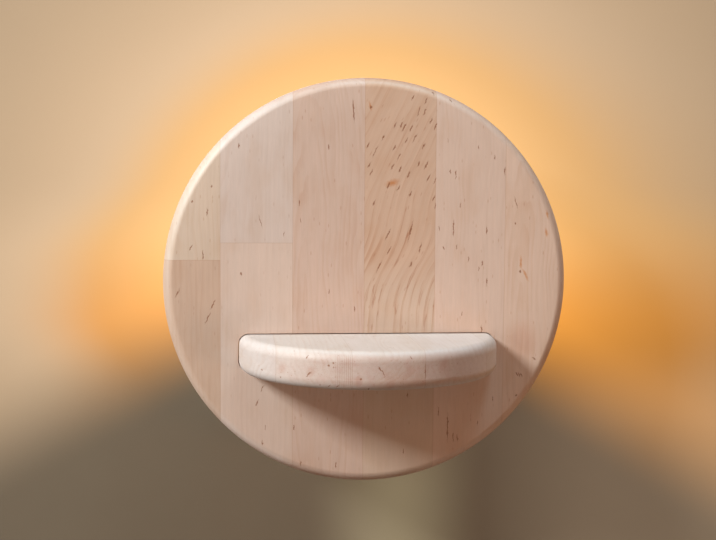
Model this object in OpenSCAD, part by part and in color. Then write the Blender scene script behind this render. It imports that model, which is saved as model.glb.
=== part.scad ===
// Wall lamp: a round wooden disc with a half-round shelf, lit from behind.
// The wall is the plane y = 0 and the lamp stands out from it towards -y. +z is up, and +x is to
// the right of someone who faces the wall. The origin is the centre of the four wall holes, on
// the axis of the disc. Names ending in _out are distances from the wall.

/* [Disc] */
// Diameter of the round wooden disc
disc_d = 250; // [226:2:300]
// Thickness of the disc
disc_t = 22; // [18:1:28]
// Radius of the rounded front edge of the disc
disc_front_r = 6; // [3:0.5:8]
// Radius of the rounded rear edge of the disc
disc_rear_r = 3; // [1:0.5:6]
// Gap between the wall and the rear face of the disc
wall_gap = 60; // [56:1:80]

/* [Shelf] */
// Width of the shelf board, which is also the diameter of its half-round front
shelf_w = 158; // [152:1:184]
// Thickness of the shelf board
shelf_t = 22; // [20:1:28]
// Radius of the rounded edges of the shelf board
shelf_edge_r = 6; // [3:0.5:9]
// Drop from the centre of the disc to the middle of the shelf board
shelf_drop = 43; // [40:1:50]
// Gap all round between the shelf board and its slot in the disc
slot_gap = 0.4; // [0.2:0.1:0.8]
// How much each face of the tongue behind the half-round front is planed down
tongue_relief = 0.2; // [0.1:0.1:0.4]
// Gap between the wall plate and the rear edge of the shelf board
shelf_rear_gap = 0.3; // [0.2:0.1:1]

/* [Wall plate] */
// Thickness of the steel wall plate
plate_t = 3; // [2.5:0.5:5]
// How far each side of the wall plate lies inside the end of the shelf board
plate_inset = 16.5; // [16:0.5:20]
// Height of the top edge of the wall plate above the centre of the disc
plate_top = 52; // [50:1:60]
// Radius of the corners of the wall plate
plate_corner_r = 8; // [3:1:12]
// Distance between the wall holes, left to right
wall_hole_pitch_x = 100; // [96:1:106]
// Distance between the wall holes, up and down
wall_hole_pitch_z = 48; // [40:1:50]
// Diameter of the wall holes
wall_hole_d = 5.5; // [4.5:0.5:6.5]

/* [Support rods] */
// Diameter of the two support rods
rod_d = 10; // [8:0.5:11]
// Length of the support rods in front of the wall plate
rod_len = 72; // [60:1:85]
// Distance between the two support rods
rod_pitch = 80; // [70:1:88]
// Diameter of the weld collar at the foot of each rod
collar_d = 14; // [13:0.5:15]
// Depth of the weld collar
collar_t = 2.5; // [1.5:0.5:4]
// Steel left between a weld collar and the lower edge of the plate
collar_edge = 3; // [2:0.5:6]
// Running clearance on radius between a rod and its bore in the shelf board
rod_clear = 0.05; // [0.02:0.01:0.1]
// Free depth left in a bore beyond the end of its rod
bore_end_gap = 3; // [1:0.5:6]

/* [Locking screws] */
// Distance from the wall to the locking screws
lock_out = 18; // [14:1:30]
// Diameter of the locking screws
lock_d = 5; // [4:0.5:5]
// Length of the threaded inserts
insert_len = 4.4; // [3:0.2:4.6]
// Wall of the threaded inserts
insert_wall = 1; // [0.8:0.1:1.5]
// Gap between a locking screw and its rod while it is slack
lock_gap = 0.2; // [0.1:0.1:0.4]
// Depth of the locking screws inside the underside of the shelf board
lock_recess = 0.5; // [0.2:0.1:1]

/* [Corner brackets] */
// Width of the corner brackets that hold the disc on the shelf board
corner_w = 16; // [14:1:20]
// Length of both legs of the corner brackets
corner_leg = 24; // [20:1:26]
// Thickness of the corner brackets
corner_t = 2; // [2:0.5:3]
// Distance between the middles of the two corner brackets
corner_pitch = 120; // [114:1:124]
// Diameter of the wood screws
wood_screw_d = 3.5; // [3:0.5:4]
// Length of the wood screws
wood_screw_len = 14; // [10:1:15]

/* [Wall pads] */
// Diameter of the rubber pads between the shelf board and the wall
pad_d = 12; // [8:1:13]
// Distance from the end of the shelf board to the middle of a pad
pad_inset = 9; // [8:0.5:9]

/* [Supply cable] */
// Largest supply cable that the grommet and the clamp take
cable_d = 8; // [6:0.5:8.5]
// Height of the cable hole above the centre of the disc
cable_z = 40; // [39:0.5:41]
// Distance of the cable hole and the terminals to the left of the centre
supply_x = 25; // [24.5:0.5:26]
// Height of the middle of the cable clamp
clamp_z = 25; // [24:0.5:26]
// Width of the cable clamp along the cable
clamp_w = 9; // [7:1:10]

/* [Terminals] */
// Distance between neighbouring poles of the terminal block
pole_pitch = 11; // [10.8:0.1:11.4]
// Length of the terminal block along the wires
block_len = 18; // [17:1:20]
// Depth of the terminal block
block_depth = 14; // [13:1:16]
// Height of the middle of the terminal block
block_z = 7; // [6:0.5:8]
// Outer diameter of the brass terminal sleeves
sleeve_d = 5; // [4.6:0.2:5.4]
// Diameter of the wire bores in the terminal sleeves
wire_bore_d = 3; // [2.6:0.2:3.2]
// Outer diameter of the internal leads
lead_d = 2; // [1.6:0.1:2.2]

/* [Lampholder] */
// Distance from the wall to the axis of the lamp
lamp_out = 31; // [29:1:33]
// Gap between the top of the shelf board and the holder bracket
bracket_lift = 1.5; // [0.5:0.5:2]
// Thickness of the holder bracket
bracket_t = 1.5; // [1.2:0.1:2]
// Width of the holder bracket
bracket_w = 38; // [38:1:42]
// Height of the upright leg of the holder bracket
bracket_h = 22; // [20:1:23]
// Height of the ceramic lampholder
holder_h = 15; // [14:0.5:16]
// Width of the ceramic lampholder
holder_w = 21; // [20:0.5:22]
// Depth of the ceramic lampholder
holder_depth = 14; // [13:0.5:15]

/* [Lamp] */
// Outer diameter of the lamp cover
lamp_d = 16; // [15:0.5:18]
// Length of the lamp cover
cover_len = 38; // [34:1:44]
// Wall of the lamp cover
cover_wall = 0.8; // [0.6:0.1:1.2]
// Height of the lamp base above the lampholder
base_h = 10; // [8:0.5:12]
// Distance between the two pins
pin_pitch = 9; // [9:0.5:9.5]
// Length of the pins below the base
pin_len = 6; // [5:0.5:6.5]

/* [Hidden] */
$fn = 64;

// Tool overrun in cuts, and the small gaps between parts that touch in reality
cut = 1;
snug = 0.05;
seat_gap = 0.1;

// Disc, slot and shelf board
disc_r = disc_d / 2;
disc_front_out = wall_gap + disc_t;
slot_w = shelf_w + 2 * slot_gap;
slot_h = shelf_t + 2 * slot_gap;
shelf_rear_out = plate_t + shelf_rear_gap;
shelf_r = shelf_w / 2;
tongue_w = shelf_w - 2 * tongue_relief;
tongue_t = shelf_t - 2 * tongue_relief;
tongue_top_z = -shelf_drop + tongue_t / 2;
tongue_bottom_z = -shelf_drop - tongue_t / 2;

// Wall plate and rods
plate_w = shelf_w - 2 * plate_inset;
plate_bottom = -shelf_drop - collar_d / 2 - collar_edge;
collar_relief = 0.6;
rod_chamfer = 1;

// Inserts and locking screws
insert_d = lock_d + 2 * snug + 2 * insert_wall;
insert_flange_d = insert_d + 2;
insert_flange_t = 0.8;
lock_top_z = -shelf_drop - rod_d / 2 - lock_gap;
lock_bottom_z = tongue_bottom_z + lock_recess;
hex_key_d = 2.9;
hex_key_depth = 2.5;

// Corner brackets: the screws stand at these distances from the corner
corner_x = corner_pitch / 2;
corner_screw_steps = [corner_leg * 3 / 8, corner_leg * 3 / 4];
wood_head_d = 2 * wood_screw_d;
corner_bend_r = corner_t + 1;

// Machine screws: diameter of the small ones and of the earth screw, head sizes as multiples
small_d = 3;
earth_d = 4;
head_ratio = 1.85;
head_h_ratio = 0.7;
back_gap = 0.3;

// Cable hole, grommet and clamp
grommet_bore_d = cable_d + 0.4;
grommet_wall = 1.2;
grommet_flange = 2.2;
grommet_lip_t = 1.6;
clamp_bore_d = cable_d + 1.2;
clamp_wall = 1.9;
clamp_foot_t = 2.5;
clamp_foot_w = 8;
clamp_screw_x = clamp_bore_d / 2 + clamp_wall + clamp_foot_w / 2;

// Terminals
poles = [-1, 0, 1];
wire_lift = 6.5;
wire_out = plate_t + wire_lift;
barrel_wall = 1.4;
block_base_t = 3;
sleeve_len = block_len - 1;
wire_bore_len = 7.5;
term_screw_d = 2.5;
term_screw_step = 4.5;
tower_wall = 1.2;
screw_well = 1;
block_screw_x = pole_pitch / 2;
block_screw_d = 2.5;

// Earth lug on the plate, left of the terminal block
earth_side_gap = 5.5;
earth_x = -supply_x - 1.5 * pole_pitch - earth_side_gap;
earth_z = 2;
lug_t = 0.8;
lug_ring_d = 8;
lug_barrel_wall = 0.55;
lug_barrel_len = 5;
lug_out = plate_t + lead_d / 2 + snug + lug_barrel_wall;

// Holder bracket, lampholder and contacts
bracket_z = tongue_top_z + bracket_lift;
holder_z = bracket_z + bracket_t;
bracket_bend_r = bracket_t + 1;
bracket_reach = 9;
bracket_front_out = lamp_out + bracket_reach;
bracket_screw_x = 12;
bracket_screw_up = 14;
bracket_screw_z = bracket_z + bracket_screw_up;
holder_corner_r = 4;
holder_ear_x = 14.5;
socket_shift = 0.2;
holder_ear_d = 8;
holder_ear_h = 5;
socket_w = 2;
socket_depth_y = 4.4;
socket_x = pin_pitch / 2 + socket_shift;
socket_floor = 2;
chamber_h = 4.5;
chamber_w = 3.2;
contact_t = 0.4;
contact_w = 3.6;
lead_hole_up = 4.5;
lead_hole_z = holder_z + lead_hole_up;

// Lamp
lamp_z = holder_z + holder_h;
pin_t = 0.9;
pin_w = 3.3;
pin_wire = 0.9;
pin_root = 1.5;
base_foot_h = 4;
base_foot_w = 15;
base_foot_depth = 7.6;
cover_z = lamp_z + base_h;
spigot_h = 2;
board_w = 10;
board_t = 1;
chip_w = 2.8;
chip_h = 3.5;
chip_t = 0.8;
chip_rows = 6;
chip_columns = [-1, 1];
chip_column_x = 2.3;

// Routes of the internal leads, out of the terminals: x, y and z of each point
live_route = [[-14, -9.5, 3], [-14, -9.5, -2], [-14, -9.5, -8], [-12.5, -11, -15.5], [-7.5, -14, -22],
    [-4.7, -18.5, -24.7], [-4.7, -23, -24.7], [-4.7, -29, -24.7]];
neutral_route = [[-25, -9.5, 3], [-25, -9.5, -2], [-25, -10, -9], [-20, -12, -15.5], [-11, -15, -19],
    [-1, -16, -19], [3.8, -16, -22.5], [4.7, -19, -24.7], [4.7, -23.5, -24.7], [4.7, -29, -24.7]];
earth_route = [[-36, -9.5, 3], [-36, -9.5, -2], [-36, -9.5, -8], [-39, -8.5, -14], [-44, -6.5, -14],
    [-47, -5, -10], [-47, -4.6, -7], [-47, -4.6, -4]];
lead_sides = 8;
steps_per_span = 2;

// ---- Shapes that repeat ----

// Rounded rectangle about the origin
module rounded_rect(w, h, r) {
    square([w - 2 * r, h], center = true);
    square([w, h - 2 * r], center = true);
    for (x = [-1, 1], y = [-1, 1])
        translate([x * (w / 2 - r), y * (h / 2 - r)]) circle(r = r);
}

// Stadium about the origin, with round ends left and right
module stadium(w, h) {
    square([w - h, h], center = true);
    for (x = [-1, 1]) translate([x * (w - h) / 2, 0]) circle(d = h);
}

// A flat outline in x and z, made solid from a distance off the wall towards the room
module from_wall(out, depth) {
    translate([0, -out, 0]) rotate([90, 0, 0]) linear_extrude(depth) children();
}

// Puts something modelled along +z at a point of the plate, so that +z looks into the room
module facing_room(x, out, z) {
    translate([x, -out, z]) rotate([90, 0, 0]) children();
}

// Machine screw with a pan head and a cross recess; its head sits on z = 0
module pan_screw(d, len) {
    head_d = d * head_ratio;
    head_h = d * head_h_ratio;
    tip = d / 8;
    difference() {
        rotate_extrude()
            polygon([[0, -len], [d / 2 - tip, -len], [d / 2, -len + tip], [d / 2, 0],
                [head_d / 2, 0], [head_d / 2, head_h / 2], [head_d * 0.32, head_h], [0, head_h]]);
        for (turn = [0, 90])
            rotate([0, 0, turn])
                translate([-head_d * 0.27, -head_d * 0.06, head_h * 0.4])
                    cube([head_d * 0.54, head_d * 0.12, head_h]);
    }
}

// Countersunk wood screw with a cross recess; the top of its head is z = 0
module wood_screw() {
    head_r = wood_head_d / 2;
    shank_r = wood_screw_d / 2;
    sink = head_r - shank_r;
    difference() {
        rotate_extrude()
            polygon([[0, -wood_screw_len], [shank_r, -wood_screw_len + 2 * wood_screw_d],
                [shank_r, -sink], [head_r, 0], [0, 0]]);
        for (turn = [0, 90])
            rotate([0, 0, turn])
                translate([-head_r * 0.55, -head_r * 0.12, -sink * 0.7])
                    cube([head_r * 1.1, head_r * 0.24, sink]);
    }
}

// Section of a folded angle: legs a along x and b along y, thickness t, outer bend radius r
module folded_section(a, b, t, r) {
    translate([r, 0]) square([a - r, t]);
    translate([0, r]) square([t, b - r]);
    intersection() {
        square([r, r]);
        translate([r, r]) difference() {
            circle(r = r);
            circle(r = r - t);
        }
    }
}

// ---- Leads: a round tube swept along a route ----

function unit(v) = v / norm(v);

// Point on the smooth curve through a, b, c and d, between b and c
function between(a, b, c, d, t) =
    0.5 * (2 * b + (c - a) * t + (2 * a - 5 * b + 4 * c - d) * t * t
        + (3 * b - a - 3 * c + d) * t * t * t);

// A route with extra points between those given
function smooth(route) = let (n = len(route)) concat(
    [for (i = [0 : n - 2], s = [0 : steps_per_span - 1])
        between(route[max(i - 1, 0)], route[i], route[i + 1], route[min(i + 2, n - 1)],
            s / steps_per_span)],
    [route[n - 1]]);

// Direction of a path at one of its points
function heading(path, i) =
    unit(path[min(i + 1, len(path) - 1)] - path[max(i - 1, 0)]);

// Side directions along a path, each the last one turned as little as possible
function sides_along(path, i = 0, last = [0, 1, 0]) =
    i == len(path) ? [] :
    let (t = heading(path, i), s = unit(last - (last * t) * t))
    concat([s], sides_along(path, i + 1, s));

// Tube of diameter d along a route
module swept_tube(route, d) {
    path = smooth(route);
    across = sides_along(path);
    n = len(path);
    rings = [for (i = [0 : n - 1], k = [0 : lead_sides - 1])
        let (a = 360 * k / lead_sides, s = across[i], u = cross(heading(path, i), s))
        path[i] + d / 2 * (cos(a) * s + sin(a) * u)];
    walls = [for (i = [0 : n - 2], k = [0 : lead_sides - 1])
        let (j = (k + 1) % lead_sides, p = i * lead_sides)
        [p + k, p + lead_sides + k, p + lead_sides + j, p + j]];
    start = [for (k = [0 : lead_sides - 1]) k];
    end = [for (k = [lead_sides - 1 : -1 : 0]) (n - 1) * lead_sides + k];
    polyhedron(points = rings, faces = concat(walls, [start, end]), convexity = 6);
}

// ---- Wooden body ----

// Half section of the disc, from its axis to its rim, rear face at y = 0
module disc_section() {
    core_r = disc_r - max(disc_front_r, disc_rear_r);
    square([core_r, disc_t]);
    translate([0, disc_rear_r]) square([disc_r, disc_t - disc_front_r - disc_rear_r]);
    square([disc_r - disc_rear_r, disc_t / 2]);
    translate([0, disc_t / 2]) square([disc_r - disc_front_r, disc_t / 2]);
    translate([disc_r - disc_rear_r, disc_rear_r]) circle(r = disc_rear_r);
    translate([disc_r - disc_front_r, disc_t - disc_front_r]) circle(r = disc_front_r);
}

// Half section of the shelf board's round front, from its axis to its rim
module shelf_section() {
    translate([0, -shelf_t / 2]) square([shelf_r - shelf_edge_r, shelf_t]);
    translate([0, -shelf_t / 2 + shelf_edge_r]) square([shelf_r, shelf_t - 2 * shelf_edge_r]);
    for (y = [-1, 1])
        translate([shelf_r - shelf_edge_r, y * (shelf_t / 2 - shelf_edge_r)])
            circle(r = shelf_edge_r);
}

// One side of both corner brackets' places: 1 is right and -1 is left
module at_corners(sides) {
    for (side = sides) translate([side * corner_x, -wall_gap, tongue_bottom_z]) children();
}

// Screw places on one corner bracket, each along +z out of the wood: first the leg on the disc,
// then the leg on the underside of the shelf board
module at_corner_screws() {
    for (step = corner_screw_steps) {
        translate([0, corner_t, -step]) rotate([-90, 0, 0]) children();
        translate([0, step, -corner_t]) rotate([180, 0, 0]) children();
    }
}

// Pilot hole for a wood screw
module pilot_hole() {
    translate([0, 0, -wood_screw_len - snug]) cylinder(h = wood_screw_len, d = wood_screw_d + 2 * snug);
}

module round_disc() {
    color("BurlyWood") difference() {
        facing_room(0, wall_gap, 0) rotate_extrude() disc_section();
        from_wall(wall_gap - cut, disc_t + 2 * cut)
            translate([0, -shelf_drop]) rounded_rect(slot_w, slot_h, shelf_edge_r + slot_gap);
        at_corners([-1, 1]) at_corner_screws() pilot_hole();
    }
}

module shelf_board() {
    color("Wheat") difference() {
        union() {
            from_wall(shelf_rear_out, disc_front_out - shelf_rear_out)
                translate([0, -shelf_drop]) rounded_rect(tongue_w, tongue_t, shelf_edge_r);
            intersection() {
                translate([0, -disc_front_out, -shelf_drop]) rotate_extrude() shelf_section();
                translate([-shelf_w, -disc_front_out - shelf_w, -shelf_drop - shelf_t])
                    cube([2 * shelf_w, shelf_w, 2 * shelf_t]);
            }
        }
        for (side = [-1, 1]) {
            facing_room(side * rod_pitch / 2, plate_t, -shelf_drop)
                cylinder(h = rod_len + bore_end_gap, d = rod_d + 2 * rod_clear);
            facing_room(side * rod_pitch / 2, plate_t, -shelf_drop)
                cylinder(h = collar_t + collar_relief, d = collar_d + 2 * collar_relief);
            translate([side * rod_pitch / 2, -lock_out, tongue_bottom_z]) {
                translate([0, 0, -cut]) cylinder(h = insert_len + seat_gap + cut, d = insert_d + 2 * snug);
                translate([0, 0, -cut])
                    cylinder(h = insert_flange_t + seat_gap + cut, d = insert_flange_d + 2 * snug);
                cylinder(h = shelf_t / 2, d = lock_d + 4 * snug);
            }
        }
        at_corners([-1, 1]) at_corner_screws() pilot_hole();
    }
}

// Folded angle behind the disc and under the shelf board
module corner_bracket(side) {
    color("Silver") at_corners([side]) difference() {
        translate([-corner_w / 2, 0, 0]) rotate([90, 0, 90]) linear_extrude(corner_w)
            mirror([0, 1]) folded_section(corner_leg, corner_leg, corner_t, corner_bend_r);
        at_corner_screws() {
            translate([0, 0, -corner_t - cut])
                cylinder(h = corner_t + 2 * cut, d = wood_screw_d + 2 * snug);
            translate([0, 0, -(wood_head_d - wood_screw_d) / 2])
                cylinder(h = (wood_head_d - wood_screw_d) / 2 + snug,
                    d1 = wood_screw_d + 2 * snug, d2 = wood_head_d + 4 * snug);
        }
    }
}

module left_corner_bracket() {
    corner_bracket(-1);
}

module right_corner_bracket() {
    corner_bracket(1);
}

module bracket_wood_screws() {
    color("Gold") at_corners([-1, 1]) at_corner_screws() wood_screw();
}

module threaded_inserts() {
    color("Gold") for (side = [-1, 1])
        translate([side * rod_pitch / 2, -lock_out, tongue_bottom_z]) difference() {
            union() {
                cylinder(h = insert_len, d = insert_d);
                cylinder(h = insert_flange_t, d = insert_flange_d);
            }
            translate([0, 0, -cut]) cylinder(h = insert_len + 2 * cut, d = lock_d + 2 * snug);
        }
}

module locking_screws() {
    color("DimGray") for (side = [-1, 1])
        translate([side * rod_pitch / 2, -lock_out, lock_bottom_z]) difference() {
            cylinder(h = lock_top_z - lock_bottom_z, d = lock_d);
            translate([0, 0, -cut]) cylinder(h = hex_key_depth + cut, d = hex_key_d, $fn = 6);
        }
}

module wall_pads() {
    color("DarkSlateGray") for (side = [-1, 1])
        facing_room(side * (shelf_r - pad_inset), 0, -shelf_drop)
            cylinder(h = shelf_rear_out, d = pad_d);
}

// ---- Wall plate and what is on it ----

// Through hole in the plate
module plate_hole(x, z, d) {
    facing_room(x, -cut, z) cylinder(h = plate_t + 2 * cut, d = d);
}

module wall_plate() {
    color("White") difference() {
        from_wall(0, plate_t) translate([0, (plate_top + plate_bottom) / 2])
            rounded_rect(plate_w, plate_top - plate_bottom, plate_corner_r);
        for (x = [-1, 1], z = [-1, 1])
            plate_hole(x * wall_hole_pitch_x / 2, z * wall_hole_pitch_z / 2, wall_hole_d);
        plate_hole(-supply_x, cable_z, grommet_bore_d + 2 * grommet_wall + 2 * snug);
        for (x = [-1, 1]) {
            plate_hole(-supply_x + x * clamp_screw_x, clamp_z, small_d + 2 * snug);
            plate_hole(-supply_x + x * block_screw_x, block_z, block_screw_d + 2 * snug);
            plate_hole(x * bracket_screw_x, bracket_screw_z, small_d + 2 * snug);
        }
        plate_hole(earth_x, earth_z, earth_d + 2 * snug);
    }
}

// Round bar with a weld collar at its foot and a chamfered tip
module support_rod(side) {
    color("LightSlateGray") facing_room(side * rod_pitch / 2, plate_t, -shelf_drop)
        rotate_extrude()
            polygon([[0, 0], [collar_d / 2, 0], [rod_d / 2, collar_t],
                [rod_d / 2, rod_len - rod_chamfer], [rod_d / 2 - rod_chamfer, rod_len], [0, rod_len]]);
}

module left_support_rod() {
    support_rod(-1);
}

module right_support_rod() {
    support_rod(1);
}

module cable_grommet() {
    bore_r = grommet_bore_d / 2;
    neck_r = bore_r + grommet_wall;
    color("DarkSlateGray") facing_room(-supply_x, seat_gap, cable_z) rotate_extrude() {
        translate([bore_r, 0]) square([grommet_wall, plate_t - seat_gap]);
        translate([bore_r, plate_t - seat_gap])
            square([grommet_wall + grommet_flange - grommet_lip_t / 2, grommet_lip_t]);
        translate([neck_r + grommet_flange - grommet_lip_t / 2, plate_t - seat_gap + grommet_lip_t / 2])
            circle(d = grommet_lip_t);
    }
}

// Saddle over the supply cable, with a foot on each side
module cable_clamp() {
    arch_d = clamp_bore_d + 2 * clamp_wall;
    foot_end = clamp_screw_x + clamp_foot_w / 2;
    color("WhiteSmoke") difference() {
        translate([-supply_x, -plate_t, clamp_z - clamp_w / 2]) linear_extrude(clamp_w) difference() {
            union() {
                translate([0, -clamp_bore_d / 2]) circle(d = arch_d);
                translate([-arch_d / 2, -clamp_bore_d / 2]) square([arch_d, clamp_bore_d / 2]);
                translate([-foot_end, -clamp_foot_t]) square([2 * foot_end, clamp_foot_t]);
            }
            translate([0, -clamp_bore_d / 2]) circle(d = clamp_bore_d);
            translate([-clamp_bore_d / 2, -clamp_bore_d / 2]) square([clamp_bore_d, clamp_bore_d]);
            translate([-arch_d, 0]) square([2 * arch_d, arch_d]);
        }
        for (x = [-1, 1])
            facing_room(-supply_x + x * clamp_screw_x, plate_t - cut, clamp_z)
                cylinder(h = clamp_foot_t + 2 * cut, d = small_d + 4 * snug);
    }
}

module clamp_screws() {
    color("Silver") for (x = [-1, 1])
        facing_room(-supply_x + x * clamp_screw_x, plate_t + clamp_foot_t, clamp_z)
            pan_screw(small_d, plate_t + clamp_foot_t - back_gap);
}

// Places of the poles: the middle of each wire bore
module at_poles() {
    for (pole = poles) translate([-supply_x + pole * pole_pitch, -wire_out, block_z]) children();
}

// Places of the clamping screws of one pole, looking into the room
module at_pole_screws() {
    for (end = [-1, 1]) translate([0, 0, end * term_screw_step]) rotate([90, 0, 0]) children();
}

module terminal_block() {
    tower_h = plate_t + block_depth - wire_out;
    color("Ivory") difference() {
        union() {
            translate([-supply_x - 1.5 * pole_pitch, -plate_t - block_base_t, block_z - block_len / 2])
                cube([3 * pole_pitch, block_base_t, block_len]);
            at_poles() {
                translate([0, 0, -block_len / 2])
                    cylinder(h = block_len, d = sleeve_d + 2 * barrel_wall);
                translate([-sleeve_d / 2, 0, -block_len / 2])
                    cube([sleeve_d, wire_out - plate_t, block_len]);
                at_pole_screws() cylinder(h = tower_h, d = term_screw_d + 4 * snug + 2 * tower_wall);
            }
        }
        at_poles() {
            translate([0, 0, -block_len / 2 - cut])
                cylinder(h = block_len + 2 * cut, d = sleeve_d + 2 * snug);
            at_pole_screws() cylinder(h = tower_h + cut, d = term_screw_d + 4 * snug);
        }
        for (x = [-1, 1]) {
            facing_room(-supply_x + x * block_screw_x, plate_t - cut, block_z)
                cylinder(h = block_base_t + 2 * cut, d = block_screw_d + 4 * snug);
            facing_room(-supply_x + x * block_screw_x, plate_t + block_base_t, block_z)
                cylinder(h = block_depth, d = block_screw_d * head_ratio + 8 * snug);
        }
    }
}

module terminal_sleeves() {
    color("Goldenrod") at_poles() difference() {
        translate([0, 0, -sleeve_len / 2]) cylinder(h = sleeve_len, d = sleeve_d);
        for (end = [-1, 1])
            translate([0, 0, end * (sleeve_len / 2 + cut - wire_bore_len / 2 - cut / 2)])
                cylinder(h = wire_bore_len + cut, d = wire_bore_d, center = true);
        at_pole_screws() cylinder(h = sleeve_d, d = term_screw_d + 2 * snug);
    }
}

module terminal_screws() {
    screw_from = wire_bore_d / 2 + snug;
    screw_to = plate_t + block_depth - wire_out - screw_well;
    color("Silver") at_poles() at_pole_screws() difference() {
        translate([0, 0, screw_from]) cylinder(h = screw_to - screw_from, d = term_screw_d);
        translate([-term_screw_d, -0.3, screw_to - 0.8]) cube([2 * term_screw_d, 0.6, cut]);
    }
}

module block_screws() {
    color("Silver") for (x = [-1, 1])
        facing_room(-supply_x + x * block_screw_x, plate_t + block_base_t, block_z)
            pan_screw(block_screw_d, plate_t + block_base_t - back_gap);
}

// Ring terminal flat on the plate, with its barrel hanging down
module earth_lug() {
    barrel_r = lead_d / 2 + snug + lug_barrel_wall;
    barrel_top = earth_z - lug_ring_d / 2 - 0.5;
    color("Goldenrod") difference() {
        union() {
            facing_room(earth_x, plate_t, earth_z) cylinder(h = lug_t, d = lug_ring_d);
            translate([earth_x - barrel_r, -plate_t - lug_t, barrel_top - 1])
                cube([2 * barrel_r, lug_t, lug_ring_d / 2]);
            translate([earth_x, -lug_out, barrel_top - lug_barrel_len])
                cylinder(h = lug_barrel_len, r = barrel_r);
        }
        facing_room(earth_x, plate_t - cut, earth_z)
            cylinder(h = lug_t + 2 * cut, d = earth_d + 2 * snug);
        translate([earth_x, -lug_out, barrel_top - lug_barrel_len - cut])
            cylinder(h = lug_barrel_len, d = lead_d + 2 * snug);
    }
}

module earth_screw() {
    color("Gold") facing_room(earth_x, plate_t + lug_t, earth_z)
        pan_screw(earth_d, plate_t + lug_t - back_gap);
}

module live_lead() {
    color("SaddleBrown") swept_tube(live_route, lead_d);
}

module neutral_lead() {
    color("RoyalBlue") swept_tube(neutral_route, lead_d);
}

module earth_lead() {
    color("YellowGreen") swept_tube(earth_route, lead_d);
}

// ---- Lampholder ----

module holder_bracket() {
    color("Gainsboro") difference() {
        translate([-bracket_w / 2, -plate_t, bracket_z]) rotate([90, 0, 90])
            linear_extrude(bracket_w) mirror([1, 0])
                folded_section(bracket_front_out - plate_t, bracket_h, bracket_t, bracket_bend_r);
        for (x = [-1, 1]) {
            facing_room(x * bracket_screw_x, plate_t - cut, bracket_screw_z)
                cylinder(h = bracket_t + 2 * cut, d = small_d + 4 * snug);
            translate([x * holder_ear_x, -lamp_out, bracket_z - cut])
                cylinder(h = bracket_t + 2 * cut, d = small_d + 2 * snug);
        }
    }
}

module holder_bracket_screws() {
    color("Silver") for (x = [-1, 1])
        facing_room(x * bracket_screw_x, plate_t + bracket_t, bracket_screw_z)
            pan_screw(small_d, plate_t + bracket_t - back_gap);
}

module lampholder() {
    color("WhiteSmoke") translate([0, -lamp_out, holder_z]) difference() {
        union() {
            linear_extrude(holder_h) rounded_rect(holder_w, holder_depth, holder_corner_r);
            linear_extrude(holder_ear_h) stadium(2 * holder_ear_x + holder_ear_d, holder_ear_d);
        }
        for (x = [-1, 1]) {
            translate([x * holder_ear_x, 0, -cut])
                cylinder(h = holder_ear_h + 2 * cut, d = small_d + 4 * snug);
            translate([x * socket_x, 0, holder_h / 2 + socket_floor])
                cube([socket_w, socket_depth_y, holder_h], center = true);
            translate([x * socket_x, 0, socket_floor + chamber_h / 2])
                cube([chamber_w, socket_depth_y, chamber_h], center = true);
            translate([x * socket_x, 0, lead_hole_z - holder_z])
                rotate([-90, 0, 0]) cylinder(h = holder_depth, d = lead_d + 4 * snug);
        }
    }
}

// Spring strips beside the pins, each with a foot under its lead
module holder_contacts() {
    strip_in = pin_pitch / 2 + pin_t / 2 + seat_gap;
    foot_w = strip_in + contact_t - socket_x + socket_w / 2 - seat_gap;
    top_gap = 1;
    color("Goldenrod") for (x = [-1, 1])
        translate([x * (strip_in + contact_t / 2), -lamp_out, holder_z + socket_floor]) {
            translate([-contact_t / 2, -contact_w / 2, 0])
                cube([contact_t, contact_w, holder_h - socket_floor - top_gap]);
            translate([x > 0 ? contact_t / 2 - foot_w : -contact_t / 2, -contact_w / 2, 0])
                cube([foot_w, contact_w, contact_t]);
        }
}

module holder_screws() {
    color("Silver") for (x = [-1, 1])
        translate([x * holder_ear_x, -lamp_out, holder_z + holder_ear_h])
            pan_screw(small_d, holder_ear_h + bracket_t);
}

// ---- Lamp ----

module bulb_base() {
    color("White") translate([0, -lamp_out, lamp_z]) difference() {
        union() {
            linear_extrude(base_foot_h) stadium(base_foot_w, base_foot_depth);
            translate([0, 0, base_foot_h]) cylinder(h = 1, d1 = lamp_d - 2, d2 = lamp_d);
            translate([0, 0, base_foot_h + 1]) cylinder(h = base_h - base_foot_h - 1, d = lamp_d);
            translate([0, 0, base_h - cut])
                cylinder(h = spigot_h + cut, d = lamp_d - 2 * cover_wall - 2 * snug);
        }
        for (x = [-1, 1])
            translate([x * pin_pitch / 2, 0, 0])
                cube([pin_t + 2 * snug, pin_w + 2 * snug, 2 * pin_root + 2 * snug], center = true);
    }
}

// Flat wire loops
module bulb_pins() {
    color("Silver") for (x = [-1, 1])
        translate([x * pin_pitch / 2 - pin_t / 2, -lamp_out, lamp_z - pin_len / 2 + pin_root / 2])
            rotate([90, 0, 90]) linear_extrude(pin_t) difference() {
                rotate([0, 0, 90]) stadium(pin_len + pin_root, pin_w);
                rotate([0, 0, 90]) stadium(pin_len + pin_root - 2 * pin_wire, pin_w - 2 * pin_wire);
            }
}

// Half section of a closed round-topped cylinder
module dome_section(r, len) {
    square([r, len - r]);
    translate([0, len - r]) intersection() {
        circle(r = r);
        square([r, r]);
    }
}

module bulb_cover() {
    inner_r = lamp_d / 2 - cover_wall;
    color("Seashell", 0.6) translate([0, -lamp_out, cover_z]) rotate_extrude() difference() {
        dome_section(lamp_d / 2, cover_len);
        translate([0, -cut]) dome_section(inner_r, cover_len - cover_wall + cut);
    }
}

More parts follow.
